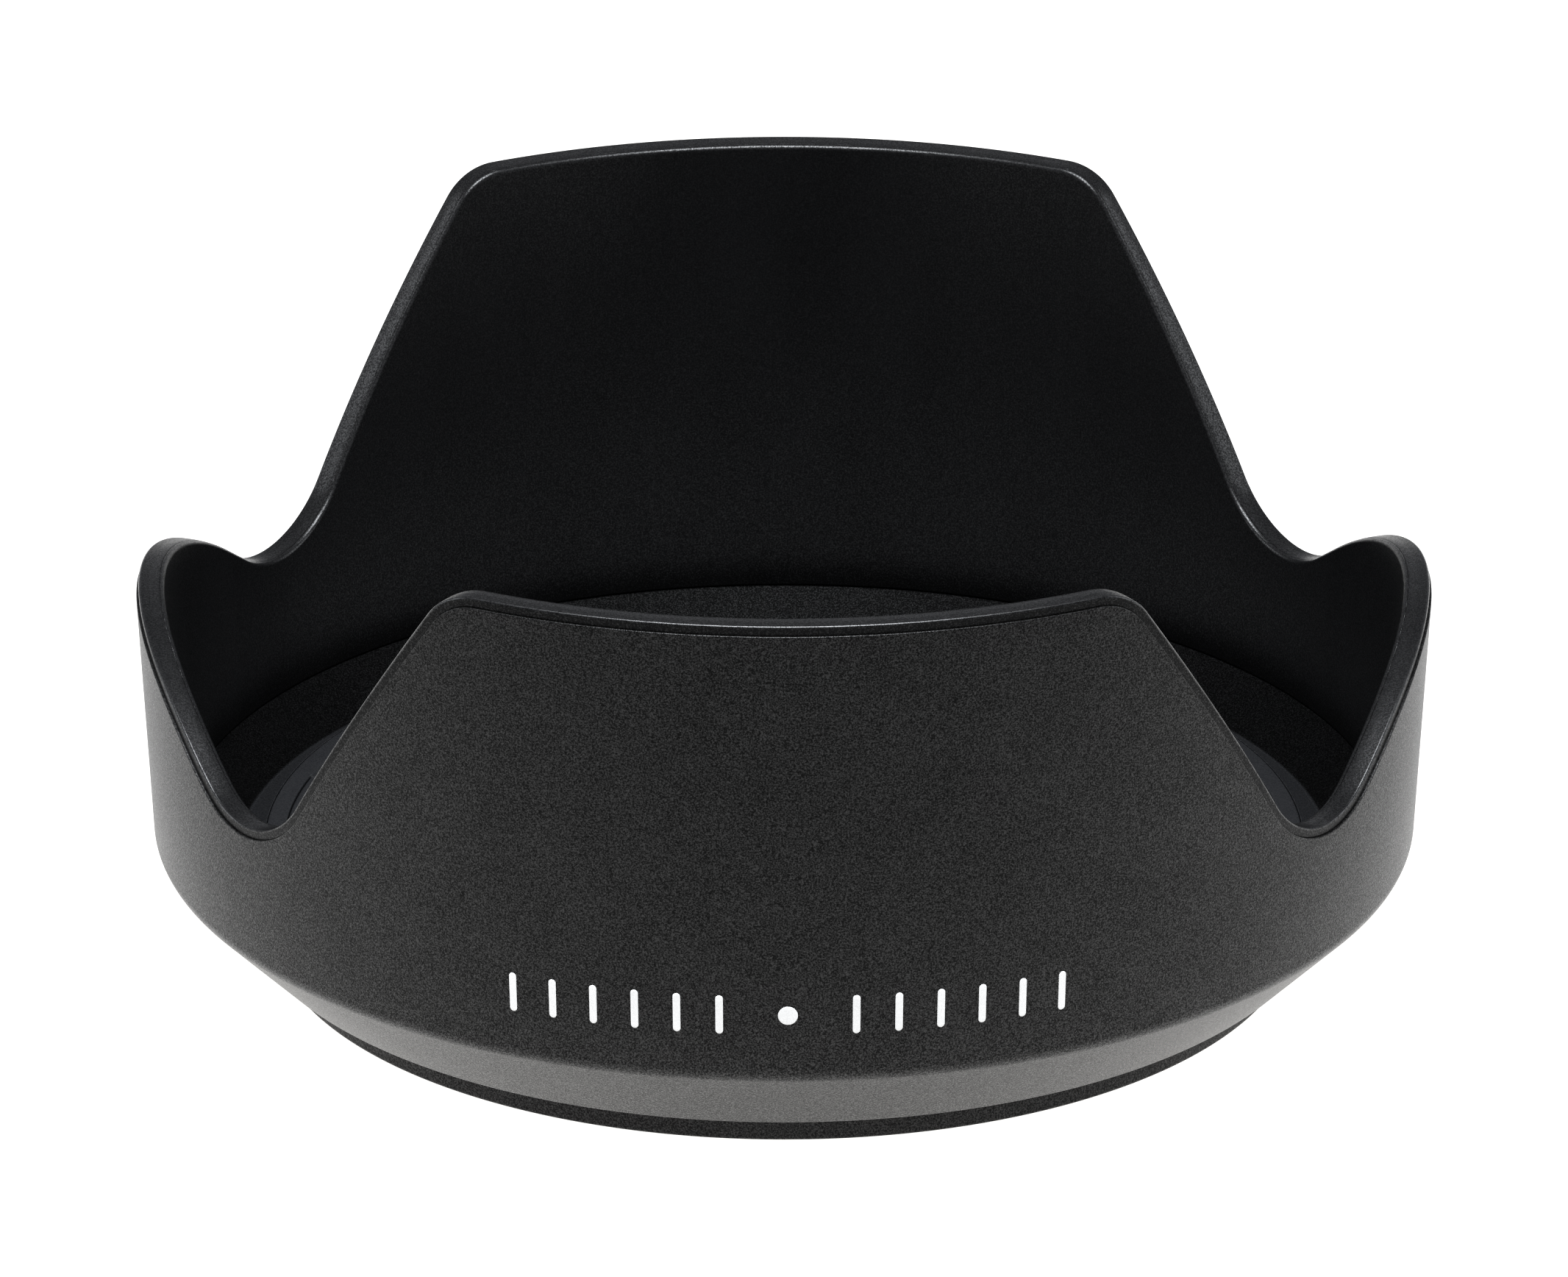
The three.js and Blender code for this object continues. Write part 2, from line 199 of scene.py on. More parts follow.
class PetalBarrel:
    """The barrel's outer wall and the petal edge that is cut in it."""

    STEPS = {"rim": 34, "corner": 26, "long_flank": 26, "notch": 44, "short_flank": 10, "crown": 52}

    def __init__(self, sizes):
        self.sizes = sizes
        self.scale = self.outer_radius(sizes.short_height)
        self.plain_x = self.petal_edge(0.0)[:, 0]

    def outer_radius(self, height):
        """The outer wall is a cone: its radius grows by the flare with height."""
        return self.sizes.barrel_radius + self.sizes.flare * height

    @staticmethod
    def arc(centre, radius, first, last, count):
        """Points of a circle by the slope of its tangent: centre plus radius times (-sin, cos) of the
        slope. A positive radius bulges upwards, a negative one downwards."""
        slope = np.linspace(first, last, count, endpoint=False)
        return np.column_stack((centre[0] - radius * np.sin(slope), centre[1] + radius * np.cos(slope)))

    def quarter_edge(self, inset):
        """The petal edge from the middle of a long petal to the middle of a short one, moved into the
        material by inset: straight rim, corner arc, straight flank, notch arc, straight flank that
        touches notch and crown, crown arc."""
        s, steps = self.sizes, self.STEPS
        flank = s.long_flank
        rim_end = self.scale * s.long_petal_half
        corner = (rim_end - s.long_corner * np.tan(flank / 2), s.hood_height - s.long_corner)
        notch_level = s.notch_height + s.notch_radius
        notch_x = rim_end + (s.hood_height - notch_level) / np.tan(flank) + s.notch_radius / sin(flank)
        notch = (notch_x, notch_level)
        crown = (self.scale * pi / 2, s.short_height - s.short_crown)
        across, rise = crown[0] - notch[0], crown[1] - notch[1]
        lean = (s.short_crown + s.notch_radius) / np.hypot(across, rise)
        short_flank = np.arctan2(rise, across) + np.arcsin(min(1.0, lean))

        convex = s.long_corner - inset
        hollow = -(s.notch_radius + inset)
        crowned = s.short_crown - inset
        corner_arc = self.arc(corner, convex, 0.0, -flank, steps["corner"])
        corner_end = self.arc(corner, convex, -flank, -flank, 1)
        notch_arc = self.arc(notch, hollow, -flank, short_flank, steps["notch"])
        notch_end = self.arc(notch, hollow, short_flank, short_flank, 1)
        crown_arc = self.arc(crown, crowned, short_flank, 0.0, steps["crown"])
        rim_start = np.array([[0.0, s.hood_height - inset]])

        def straight(start, end, count):
            return start + (end - start) * np.linspace(0, 1, count, endpoint=False)[:, None]

        return np.vstack((
            straight(rim_start, corner_arc[:1], steps["rim"]),
            corner_arc,
            straight(corner_end, notch_arc[:1], steps["long_flank"]),
            notch_arc,
            straight(notch_end, crown_arc[:1], steps["short_flank"]),
            crown_arc,
            [[crown[0], s.short_height - inset]],
        ))

    def petal_edge(self, inset):
        """The quarter edge four times round, each the mirror image of the last, as (x, height)."""
        half_turn = self.scale * pi
        quarter = self.quarter_edge(inset)
        mirrored = quarter[:0:-1] * (-1, 1) + (half_turn, 0)
        half = np.vstack((quarter[:-1], mirrored))
        return np.vstack((half, half + (half_turn, 0)))

    def edge_row(self, inset, depth):
        """A row that keeps inset below the petal edge and depth inside the outer wall."""
        edge = self.petal_edge(inset)
        return np.column_stack((edge[:, 0], np.full(len(edge), depth), edge[:, 1]))

    def level_row(self, radius, height, x=None):
        """A row at a radius and a height, which may change from place to place round the hood."""
        x = self.plain_x if x is None else x
        depth = self.outer_radius(height) - radius
        return np.column_stack(np.broadcast_arrays(x, depth, height))

    def place(self, rows):
        """Rolls rows up: the angle is x over the unrolling radius, from -Y towards +X."""
        turn = rows[..., 0] / self.scale
        radius = self.outer_radius(rows[..., 2]) - rows[..., 1]
        return np.stack((radius * np.sin(turn), -radius * np.cos(turn), rows[..., 2]), axis=-1)


def unit(vectors):
    """Vectors at length one."""
    return vectors / np.linalg.norm(vectors, axis=-1, keepdims=True)


def rounded(before, corner, after, setback, steps, support):
    """Rows of a circular arc that starts and ends setback from the corner, as the rational quadratic
    curve on start, corner and end whose middle weight is the sine of half the corner's angle. One
    supporting row on each side keeps the shading of the faces beside it flat."""
    back, ahead = unit(before - corner), unit(after - corner)
    weight = np.sqrt(np.clip((1 - np.sum(back * ahead, axis=-1)) / 2, 0, 1))[:, None]
    start, end = corner + back * setback, corner + ahead * setback
    t = np.linspace(0, 1, steps + 1)[:, None, None]
    pull = 2 * t * (1 - t) * weight
    total = (1 - t) ** 2 + pull + t**2
    arc = ((1 - t) ** 2 * start + pull * corner + t**2 * end) / total
    return np.concatenate(([start + back * support], arc, [end + ahead * support]))


def section_rows(corners):
    """Rows of a closed cross-section. Each corner is (row, setback, steps, wear and highlight, run): the
    corner is rounded, its arc carries that much wear and painted highlight, and run rows are spread evenly
    to the next corner."""
    count = len(corners)
    blocks = []
    for i, (row, setback, steps, _, _) in enumerate(corners):
        before, after = corners[i - 1][0], corners[(i + 1) % count][0]
        blocks.append(rounded(before, row, after, setback, steps, min(0.6 * setback, 0.06 * MM)))
    rows, wear_and_highlight = [], []
    for i, (_, _, steps, worn_and_highlit, run) in enumerate(corners):
        first, last = blocks[i][-1], blocks[(i + 1) % count][0]
        share = np.linspace(0, 1, run + 2)[1:-1, None, None]
        rows += [blocks[i], first + (last - first) * share]
        bell = np.sin(np.linspace(0, pi, steps + 1)) ** 0.5 * worn_and_highlit
        wear_and_highlight += [[0.0], bell, [0.0], np.zeros(run)]
    return np.concatenate(rows), np.concatenate(wear_and_highlight)


def add_surface(name, points, wear_and_highlight, close_ends=True):
    """A mesh piece from a grid of points (row, station). Rows are closed round the hood, and the
    cross-section is closed on itself unless close_ends is false. Faces are quads, seen outwards when
    the cross-section runs anticlockwise."""
    count_rows, count = points.shape[:2]
    row = np.arange(count_rows if close_ends else count_rows - 1)[:, None]
    station = np.arange(count)[None, :]
    next_row, next_station = (row + 1) % count_rows, (station + 1) % count
    quads = np.stack((
        row * count + station,
        row * count + next_station,
        next_row * count + next_station,
        next_row * count + station,
    ), axis=-1).reshape(-1, 4)
    mesh = bpy.data.meshes.new(name)
    mesh.vertices.add(count_rows * count)
    mesh.vertices.foreach_set("co", points.astype(np.float32).ravel())
    mesh.loops.add(quads.size)
    mesh.loops.foreach_set("vertex_index", quads.astype(np.int32).ravel())
    mesh.polygons.add(len(quads))
    mesh.polygons.foreach_set("loop_start", np.arange(0, quads.size, 4, dtype=np.int32))
    mesh.polygons.foreach_set("use_smooth", np.ones(len(quads), bool))
    # Wear and painted highlight of each row, which the materials read.
    layer = mesh.attributes.new("wear_and_highlight", "FLOAT", "POINT")
    layer.data.foreach_set("value", np.repeat(wear_and_highlight, count).astype(np.float32))
    mesh.update(calc_edges=True)
    mesh.validate()
    piece = bpy.data.objects.new(name, mesh)
    bpy.context.scene.collection.objects.link(piece)
    return piece


def close_poles(piece):
    """Merges the points of collapsed rows and turns all faces outwards."""
    shape = bmesh.new()
    shape.from_mesh(piece.data)
    bmesh.ops.remove_doubles(shape, verts=shape.verts, dist=1e-7)
    bmesh.ops.recalc_face_normals(shape, faces=shape.faces)
    for face in shape.faces:
        face.smooth = True
    shape.to_mesh(piece.data)
    shape.free()


def dress(piece, material, nodes=()):
    """Gives a piece its material and its place in the frame."""
    piece.data.materials.append(material)
    if nodes:
        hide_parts(*nodes)
    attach(piece, "root")


# Materials.


class Value:
    """A number socket. Arithmetic on values adds Math nodes."""

    def __init__(self, graph, socket):
        self.graph, self.socket = graph, socket

    def _math(self, operation, *values):
        node = self.graph.node("ShaderNodeMath", {"operation": operation}, dict(enumerate(values)))
        return Value(self.graph, node.outputs[0])

    def __add__(self, other):
        return self._math("ADD", self, other)

    def __sub__(self, other):
        return self._math("SUBTRACT", self, other)

    def __rsub__(self, other):
        return self._math("SUBTRACT", other, self)

    def __mul__(self, other):
        return self._math("MULTIPLY", self, other)

    def clamped(self):
        """The value held between nought and one."""
        node = self.graph.node("ShaderNodeClamp", {}, {"Value": self})
        return Value(self.graph, node.outputs[0])

    def between(self, low, high):
        """Nought below low, one above high, and a smooth step between them."""
        settings = {"interpolation_type": "SMOOTHSTEP"}
        inputs = {"Value": self, "From Min": low, "From Max": high}
        return Value(self.graph, self.graph.node("ShaderNodeMapRange", settings, inputs).outputs[0])

    __radd__ = __add__


class Finish:
    """A material under construction, with one Principled shader."""

    def __init__(self, name, **constants):
        self.material = bpy.data.materials.new(name)
        self.material.use_nodes = True
        self.tree = self.material.node_tree
        self.shader = self.tree.nodes["Principled BSDF"]
        for socket, value in constants.items():
            self.shader.inputs[socket.replace("_", " ")].default_value = value
        self.place = self.node("ShaderNodeTexCoord", {}, {}).outputs["Object"]

    def node(self, kind, settings, inputs):
        """A node of a kind, with its settings made first and then the values or links of its sockets."""
        made = self.tree.nodes.new(kind)
        for key, value in settings.items():
            setattr(made, key, value)
        for key, value in inputs.items():
            source = value.socket if isinstance(value, Value) else value
            if isinstance(source, bpy.types.NodeSocket):
                self.tree.links.new(source, made.inputs[key])
            else:
                made.inputs[key].default_value = source
        return made

    def noise(self, size, detail=2.0, rough=0.5, stretch=(1, 1, 1)):
        """Smooth noise about nought, with features of a size in metres."""
        moved = self.node("ShaderNodeMapping", {}, {"Vector": self.place, "Scale": stretch})
        inputs = {"Vector": moved.outputs[0], "Scale": 1 / size, "Detail": detail, "Roughness": rough}
        return Value(self, self.node("ShaderNodeTexNoise", {}, inputs).outputs["Fac"]) - 0.5

    def cells(self, size):
        """Distance to the nearest of many scattered points, in units of their spacing."""
        inputs = {"Vector": self.place, "Scale": 1 / size}
        return Value(self, self.node("ShaderNodeTexVoronoi", {}, inputs).outputs["Distance"])

    def attribute(self, name):
        """A number carried by the mesh."""
        return Value(self, self.node("ShaderNodeAttribute", {"attribute_name": name}, {}).outputs["Fac"])

    def coordinate(self, axis):
        """One coordinate of the place on the object."""
        return Value(self, self.node("ShaderNodeSeparateXYZ", {}, {"Vector": self.place}).outputs[axis])

    def distance(self):
        """Distance from the optical axis."""
        flat = self.node("ShaderNodeVectorMath", {"operation": "MULTIPLY"}, {0: self.place, 1: (1, 1, 0)})
        size = self.node("ShaderNodeVectorMath", {"operation": "LENGTH"}, {0: flat.outputs["Vector"]})
        return Value(self, size.outputs["Value"])

    def mixed(self, socket, mask, low, high):
        """A colour socket from low, where the mask is nought, to high, where it is one."""
        inputs = {"Factor": mask, 6: (*low, 1), 7: (*high, 1)}
        mix = self.node("ShaderNodeMix", {"data_type": "RGBA"}, inputs)
        self.tree.links.new(mix.outputs[2], self.shader.inputs[socket])

    def colour(self, mask, low, high):
        """Base colour from low to high by the mask."""
        self.mixed("Base Color", mask, low, high)

    def roughness(self, value):
        """Links the roughness, held between nought and one."""
        self.tree.links.new(value.clamped().socket, self.shader.inputs["Roughness"])

    def glints(self, value):
        """Links the weight of the thin clear coat, whose small patches make the grains glint."""
        self.tree.links.new(value.clamped().socket, self.shader.inputs["Coat Weight"])

    def relief(self, height, depth, strength=1.0):
        """Bump: height runs from nought to one over depth metres."""
        inputs = {"Height": height, "Distance": depth, "Strength": strength}
        bump = self.node("ShaderNodeBump", {}, inputs)
        self.tree.links.new(bump.outputs[0], self.shader.inputs["Normal"])


def tinted(colour_value, gain):
    """A colour made lighter or darker."""
    return tuple(min(1.0, channel * gain) for channel in colour_value)


def spark_textured(finishes):
    """Spark-eroded black plastic: fine pits and grains, faint mottling, edges polished by handling and
    painted lighter and glossier, as wear and painted highlight.
    """
    f = Finish("textured_skin", Specular_IOR_Level=0.08, Coat_Roughness=0.36)
    grains = f.noise(finishes.skin_grain, 2.0, 0.7)
    pits = f.cells(finishes.skin_grain * 1.6)
    mottle = f.noise(3.5 * MM, 4.0, 0.6)
    handling = f.noise(14 * MM, 3.0, 0.55)
    # Wear and painted highlight: rounded edges are painted lighter and given more coat.
    worn_and_highlit = (f.attribute("wear_and_highlight") * (0.65 + f.noise(0.9 * MM, 3.0) * 1.6)).clamped()
    f.colour((0.4 + grains * 3.2 + mottle * 0.4 + handling * 0.3 + worn_and_highlit * 0.3).clamped(),
             tinted(finishes.skin_colour, 0.2), tinted(finishes.skin_colour, 2.4))
    f.roughness(0.37 + mottle * 0.08 + handling * 0.06 + grains * 0.35 - worn_and_highlit * 0.08)
    f.glints(0.26 + grains * 3.8 + mottle * 0.2 + worn_and_highlit * 0.2)
    f.relief(grains + pits * 0.4, finishes.skin_relief)
    return f.material


def satin(finishes, sizes):
    """Satin black plastic, faintly blue: very fine texture, soft flow marks, rim edges polished by wear
    and painted lighter as painted highlight. Two places are painted darker as painted shade: the lip's
    outer side, which lies the lip's step inside the barrel's cone, and the wall's foot."""
    f = Finish("satin_liner", Specular_IOR_Level=0.10, Coat_Roughness=0.30)
    grains = f.noise(finishes.satin_grain, 3.0, 0.6)
    grit = f.noise(finishes.skin_grain, 2.0, 0.7)
    flow = f.noise(5 * MM, 3.0, 0.5, stretch=(1, 1, 0.35))
    specks = f.noise(0.35 * MM, 2.0, 0.6)
    lip_radius = sizes.barrel_radius - sizes.lip_step
    cone_radius = f.distance() - f.coordinate("Z") * sizes.flare
    # Painted shade on the lip's outer side, where it lies in the step above the shell.
    side = cone_radius.between(lip_radius - 0.05 * MM, lip_radius - 0.01 * MM)
    # Wear and painted highlight: the rim's rounded edges are painted lighter, glossier and given more
    # coat.
    worn_and_highlit = (f.attribute("wear_and_highlight") * (0.7 + f.noise(0.7 * MM, 3.0) * 1.4)).clamped()
    # Painted shade on the wall's foot, fading out over the shaded foot's height above the shoulder.
    foot = 1 - f.coordinate("Z").between(sizes.shoulder_height, sizes.shoulder_height + sizes.shaded_foot)
    painted_shade = (side + foot).clamped()
    f.colour((0.45 + grains * 1.2 + flow * 0.5 + specks * 0.4 + worn_and_highlit * 0.35 - painted_shade * 0.5).clamped(),
             tinted(finishes.liner_colour, 0.3), tinted(finishes.liner_colour, 1.8))
    f.roughness(0.40 + flow * 0.10 + grains * 0.10 + specks * 0.05 - worn_and_highlit * 0.2)
    f.glints(0.24 + grit * 3.4 + worn_and_highlit * 0.8 - painted_shade * 0.24)
    f.relief(grains, finishes.satin_relief)
    return f.material


def anti_glare(finishes, lip_radius):
    """Matte black plastic: dense fine grain with a trace of dust. The inner lip is satin."""
    f = Finish("matte_baffle", Specular_IOR_Level=0.02, Coat_Roughness=0.6)
    grains = f.noise(finishes.satin_grain * 1.5, 3.0, 0.65)
    mottle = f.noise(2.5 * MM, 4.0, 0.6)
    dust = f.noise(0.25 * MM, 2.0, 0.6).between(0.22, 0.3)
    grit = f.noise(finishes.skin_grain, 2.0, 0.7)
    lip = 1 - f.distance().between(lip_radius - 0.15 * MM, lip_radius + 0.1 * MM)
    f.colour((0.02 + grains * 0.1 + mottle * 0.04 + dust * 0.1 + lip * 0.7).clamped(),
             tinted(finishes.baffle_colour, 0.55), finishes.lip_colour)
    f.glints(0.04 + grit * 1.0 + lip * (0.3 + grit * 2.5))
    f.roughness(0.62 + mottle * 0.10 + grains * 0.08 + dust * 0.1)
    f.relief(grains, finishes.satin_relief * 1.6)
    return f.material


def moulded(finishes, top_height):
    """Plain moulded black plastic: faint turning lines from the mould, a little rubbing wear and painted
    highlight on its edges. Its top, above a height between 2 and 1 mm below the ring's top, is painted a
    paler satin as painted light on the top faces."""
    f = Finish("moulded_bayonet", Specular_IOR_Level=0.06, Coat_Roughness=0.45)
    lines = f.noise(0.12 * MM, 2.0, 0.5, stretch=(0.02, 0.02, 1))
    grains = f.noise(finishes.satin_grain, 3.0, 0.6)
    mottle = f.noise(2 * MM, 3.0, 0.6)
    # Wear and painted highlight: rounded edges are painted a little lighter and given more coat.
    worn_and_highlit = (f.attribute("wear_and_highlight") * (0.7 + f.noise(0.6 * MM, 3.0) * 1.5)).clamped()
    grit = f.noise(finishes.skin_grain, 2.0, 0.7)
    # Painted light: the top of the ring and the lugs is painted paler and glossier.
    top = f.coordinate("Z").between(top_height - 2 * MM, top_height - 1 * MM)
    f.colour((0.15 + grains * 0.4 + lines * 0.2 + mottle * 0.2 + worn_and_highlit * 0.2 + top * 0.7).clamped(),
             tinted(finishes.ring_colour, 0.6), finishes.lip_colour)
    f.glints(0.24 + grit * 3.0 + worn_and_highlit * 0.2 + top * 0.25)
    f.roughness(0.44 + mottle * 0.10 + lines * 0.08 - worn_and_highlit * 0.08)
    f.relief(grains * 0.7 + lines * 0.5, finishes.satin_relief)
    return f.material


def printed_ink(finishes):
    """Pad-printed white ink: slightly uneven cover over the textured plastic."""
    f = Finish("printed_ink", Specular_IOR_Level=0.4)
    cover = f.noise(finishes.skin_grain * 1.4, 3.0, 0.6)
    patch = f.noise(0.8 * MM, 3.0, 0.6)
    f.colour((0.75 + cover * 0.9 + patch * 0.3).clamped(),
             tinted(finishes.ink_colour, 0.72), tinted(finishes.ink_colour, 1.0))
    f.roughness(0.48 + patch * 0.12 + cover * 0.1)
    f.relief(cover, finishes.skin_relief * 0.5)
    return f.material


def pale_floor(studio):
    """A plain pale lit table top whose glow is left out under the bore, as painted shade inside the hood.
    Seen directly it glows evenly. The light that it casts on the hood is strongest close round the foot
    and fades towards the front."""
    f = Finish("pale_floor", Specular_IOR_Level=0.0)
    f.shader.inputs["Emission Strength"].default_value = studio.floor_glow
    distance = f.distance()
    away = distance.between(studio.glow_outer - studio.glow_fade, studio.glow_outer)
    # Painted shade: no glow under the bore, either seen or cast.
    bore_shade = 1 - distance.between(studio.glow_inner - 1 * MM, studio.glow_inner)
    in_front = f.coordinate("Y").between(-studio.field_end, -studio.field_front)
    field = studio.front_share + in_front * (studio.field_share - studio.front_share)
    cast = (field + (1 - away) * (1 - field)) * (1 - bore_shade)
    seen = Value(f, f.node("ShaderNodeLightPath", {}, {}).outputs["Is Camera Ray"])
    glow = cast * (1 - seen) + seen * studio.seen_share * (1 - bore_shade)
    f.mixed("Emission Color", glow, (0, 0, 0), (1.0, 0.985, 0.96))
    f.colour((0.5 + f.noise(40 * MM, 2.0) * 0.6).clamped(),
             tinted(studio.floor_colour, 0.99), tinted(studio.floor_colour, 1.01))
    f.shader.inputs["Roughness"].default_value = 0.9
    return f.material


# Operators, one for each piece or group of like pieces.


def settings(context):
    """The three groups of settings."""
    scene = context.scene
    return scene.hood_sizes, scene.hood_finishes, scene.hood_studio


def cone_slope(s, barrel):
    """Radius that the chamfered foot gains per metre of height."""
    return (barrel.outer_radius(s.shoulder_height) - s.foot_radius) / (s.shoulder_height - s.foot_height)


def cone_inside(s, barrel, height):
    """Radius of the inside of the shell's cone at a height."""
    slope = cone_slope(s, barrel)
    return s.foot_radius + (height - s.foot_height) * slope - s.skin * np.hypot(1, slope)


def cone_top(s, barrel):
    """Height where the inside of the cone meets the inside of the shell's wall."""
    slope = cone_slope(s, barrel)
    return (s.barrel_radius - s.skin - cone_inside(s, barrel, 0.0)) / (slope - s.flare)


class HOOD_OT_outer_shell(bpy.types.Operator):
    """Spark-textured outer shell: chamfered foot, barrel and petals"""

    bl_idname = "hood.outer_shell"
    bl_label = "Outer shell"

    def execute(self, context):
        s, finishes, _ = settings(context)
        barrel = PetalBarrel(s)
        top, floor = cone_top(s, barrel), s.foot_height + s.floor_thickness
        inside = s.neck_radius + s.bond
        shoulder = barrel.level_row(barrel.outer_radius(s.shoulder_height), s.shoulder_height)
        edge = s.edge_round
        rows, wear_and_highlight = section_rows([
            (barrel.level_row(inside, s.foot_height), edge, 4, 0.0, 2),
            (barrel.level_row(s.foot_radius, s.foot_height), edge * 1.8, 6, 0.8, 6),
            (shoulder, s.shoulder_round, 12, 0.35, 22),
            (barrel.edge_row(s.lip_height, 0.0), edge, 5, 0.6, 1),
            (barrel.edge_row(s.lip_height, s.skin), edge, 3, 0.0, 8),
            (barrel.level_row(cone_inside(s, barrel, top), top), edge * 2, 3, 0.0, 3),
            (barrel.level_row(cone_inside(s, barrel, floor), floor), edge * 2, 3, 0.0, 2),
            (barrel.level_row(inside, floor), edge, 3, 0.0, 1),
        ])
        piece = add_surface("hood_skin", barrel.place(rows), wear_and_highlight)
        dress(piece, spark_textured(finishes), ["outer_shell"])
        return {"FINISHED"}


class HOOD_OT_inner_liner(bpy.types.Operator):
    """Satin inner liner with the rounded rim that laps over the shell"""

    bl_idname = "hood.inner_liner"
    bl_label = "Inner liner"

    def execute(self, context):
        s, finishes, _ = settings(context)
        barrel = PetalBarrel(s)
        foot, behind = LINER_LOW.z, s.skin + s.bond
        top = cone_top(s, barrel) + s.bond
        edge = s.edge_round
        rows, wear_and_highlight = section_rows([
            (barrel.level_row(barrel.outer_radius(foot) - s.wall, foot), edge, 4, 0.0, 1),
            (barrel.level_row(cone_inside(s, barrel, foot) - s.bond, foot), edge, 3, 0.0, 1),
            (barrel.level_row(barrel.outer_radius(top) - behind, top), edge, 3, 0.0, 6),
            (barrel.edge_row(s.lip_height - s.seam, behind), edge, 3, 0.0, 2),
            (barrel.edge_row(s.lip_height - s.seam, s.lip_step), edge * 0.3, 3, 0.0, 1),
            (barrel.edge_row(0.0, s.lip_step), s.rim_outer_round * 0.9, 10, 1.0, 1),
            (barrel.edge_row(0.0, s.crown_depth), s.crown_depth * 0.3, 8, 0.2, 1),
            (barrel.edge_row(s.crown_drop, s.wall), s.rim_inner_round, 8, 0.35, 26),
        ])
        piece = add_surface("hood_liner", barrel.place(rows), wear_and_highlight)
        dress(piece, satin(finishes, s), ["inner_liner"])
        return {"FINISHED"}


def plain_stations(barrel, count):
    """Even stations right round the hood."""
    return np.arange(count) * (2 * pi * barrel.scale / count)


class HOOD_OT_baffle(bpy.types.Operator):
    """Sloped anti-glare baffle with its raised inner lip"""

    bl_idname = "hood.baffle"
    bl_label = "Baffle"
    STATIONS = 720

    def execute(self, context):
        s, finishes, _ = settings(context)
        barrel = PetalBarrel(s)
        x = plain_stations(barrel, self.STATIONS)
        inside, low, top = s.hub_radius + s.bond, BAFFLE_LOW.z, s.shoulder_height
        edge = s.edge_round
        rows, wear_and_highlight = section_rows([
            (barrel.level_row(inside, low, x), edge, 3, 0.0, 1),
            (barrel.level_row(cone_inside(s, barrel, low) - s.bond, low, x), edge, 3, 0.0, 3),
            (barrel.level_row(cone_inside(s, barrel, top) - s.bond, top, x), edge, 3, 0.0, 1),
            (barrel.level_row(barrel.outer_radius(top) - s.wall, top, x), edge, 4, 0.2, 14),
            (barrel.level_row(inside + s.baffle_lip, low + s.baffle_thickness, x), edge * 4, 8, 0.0, 5),
            (barrel.level_row(inside, s.hub_top, x), edge * 0.8, 5, 0.8, 2),
        ])
        piece = add_surface("hood_baffle", barrel.place(rows), wear_and_highlight)
        lip_radius = inside + s.baffle_lip
        dress(piece, anti_glare(finishes, lip_radius), ["baffle_ring"])
        return {"FINISHED"}


class HOOD_OT_bayonet_ring(bpy.types.Operator):
    """Bayonet ring: neck, flange and bore, with a socket for each lug"""

    bl_idname = "hood.bayonet_ring"
    bl_label = "Bayonet ring"
    FLANGE_CLEARANCE = 0.25 * MM  # from the flange's edge to the inside of the cone
    ROW_SPACING = 0.2 * MM  # keeps the rows of the socket's floor apart where there is no socket
    SOCKET_STATIONS = 66
    BETWEEN_STATIONS = 100

    def execute(self, context):
        s, finishes, _ = settings(context)
        barrel = PetalBarrel(s)
        x, socket = self.stations(s, barrel)
        flange_bottom = s.foot_height + s.floor_thickness + s.bond
        flange_edge = cone_inside(s, barrel, flange_bottom) - self.FLANGE_CLEARANCE
        flange_top = flange_bottom + s.flange_thickness
        socket_floor = LUG_LOW.z - s.socket_gap
        behind_lug = s.bore_radius + s.bore_chamfer + s.socket_gap
        bore, edge = s.bore_radius, s.edge_round
        bore_low = socket_floor - self.ROW_SPACING * (1 - socket)
        chamfer_end = bore + s.bore_chamfer
        bore_wall = bore + (behind_lug - bore) * socket
        bore_top = chamfer_end + (behind_lug - chamfer_end) * socket

        rows, wear_and_highlight = section_rows([
            (barrel.level_row(bore, RING_LOW.z, x), edge * 2, 4, 0.3, 1),
            (barrel.level_row(s.neck_radius, RING_LOW.z, x), edge * 2, 5, 0.8, 4),
            (barrel.level_row(s.neck_radius, flange_bottom, x), edge * 0.5, 3, 0.0, 1),
            (barrel.level_row(flange_edge, flange_bottom, x), edge, 3, 0.0, 1),
            (barrel.level_row(flange_edge, flange_top, x), edge, 3, 0.0, 1),
            (barrel.level_row(s.hub_radius, flange_top, x), edge * 0.5, 3, 0.0, 1),
            (barrel.level_row(s.hub_radius, s.hub_top, x), edge, 5, 0.7, 1),
            (barrel.level_row(bore_top, s.hub_top, x), edge, 4, 0.7, 1),
            (barrel.level_row(bore_wall, s.hub_top - s.bore_chamfer, x), edge, 4, 0.7, 1),
            (barrel.level_row(bore_wall, socket_floor, x), edge, 3, 0.0, 1),
            (barrel.level_row(bore, bore_low, x), edge * 0.8, 3, 0.3, 6),
        ])
        piece = add_surface("hood_bayonet_ring", barrel.place(rows), wear_and_highlight)
        dress(piece, moulded(finishes, s.hub_top), ["bayonet_ring"])
        return {"FINISHED"}

    def stations(self, s, barrel):
        """Stations round the ring, close together at the ends of the lug sockets, and whether each one
        lies in a socket."""
        half = s.lug_half + s.socket_gap / (s.bore_radius + s.bore_chamfer)
        hair = 0.03 * MM / s.bore_radius
        ends = np.array([-half, half])
        fine = (ends[:, None] + hair * np.array([-3, -1, 1, 3])).ravel()
        inside = np.linspace(-half, half, self.SOCKET_STATIONS + 2)[1:-1]
        outside = np.linspace(half, pi / 2 - half, self.BETWEEN_STATIONS + 2)[1:-1]
        quarter = np.sort(np.concatenate((fine, inside, outside)))
        turn = (quarter[None, :] + np.arange(4)[:, None] * pi / 2).ravel()
        in_socket = np.tile(np.abs(quarter) < half, 4).astype(float)
        return turn * barrel.scale, in_socket


